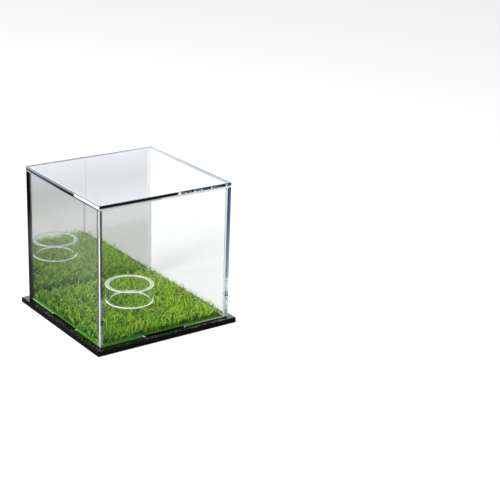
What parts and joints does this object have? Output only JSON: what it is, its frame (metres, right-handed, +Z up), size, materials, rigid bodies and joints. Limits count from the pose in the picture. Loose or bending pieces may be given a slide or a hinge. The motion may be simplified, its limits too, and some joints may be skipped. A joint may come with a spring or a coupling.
{
  "type": "display case",
  "caption": "Cube-shaped clear display case for a golf ball: mirrored back wall, lift-off cover, glossy black base, artificial turf mat and a clear ring as the ball's seat.",
  "frame": {"origin": "centre of the base plate's underside, on the surface that the case stands on", "axes": "+Z up, +X to the right and -Y towards the viewer; the mirrored wall is at +Y"},
  "size_m": [0.108, 0.108, 0.1003],
  "materials": {
    "clear_acrylic": "polished clear sheet and tube",
    "black_acrylic": "polished black sheet",
    "mirror_silver": "mirror",
    "mirror_paint": "matt protective paint",
    "turf_pile": "soft green blades",
    "turf_backing": "matt woven backing",
    "tape": "matt film"
  },
  "bodies": {
    "base": {"base_plate": "black_acrylic", "turf_tape_left": "tape", "turf_tape_right": "tape", "turf_backing": "turf_backing", "turf_pile": "turf_pile"},
    "ring": {"ring_holder": "clear_acrylic"},
    "cover": {"front_wall": "clear_acrylic", "left_wall": "clear_acrylic", "right_wall": "clear_acrylic", "mirror_wall": "clear_acrylic", "mirror_film": "mirror_silver", "mirror_backing": "mirror_paint", "top_panel": "clear_acrylic"}
  },
  "joints": [
    {"name": "cover_lift", "type": "slide", "parent": "base", "child": "cover", "axis": [0, 0, 1], "range_m": [0, 0.1]},
    {"name": "ring_lift", "type": "slide", "parent": "base", "child": "ring", "axis": [0, 0, 1], "range_m": [0, 0.06]}
  ]
}
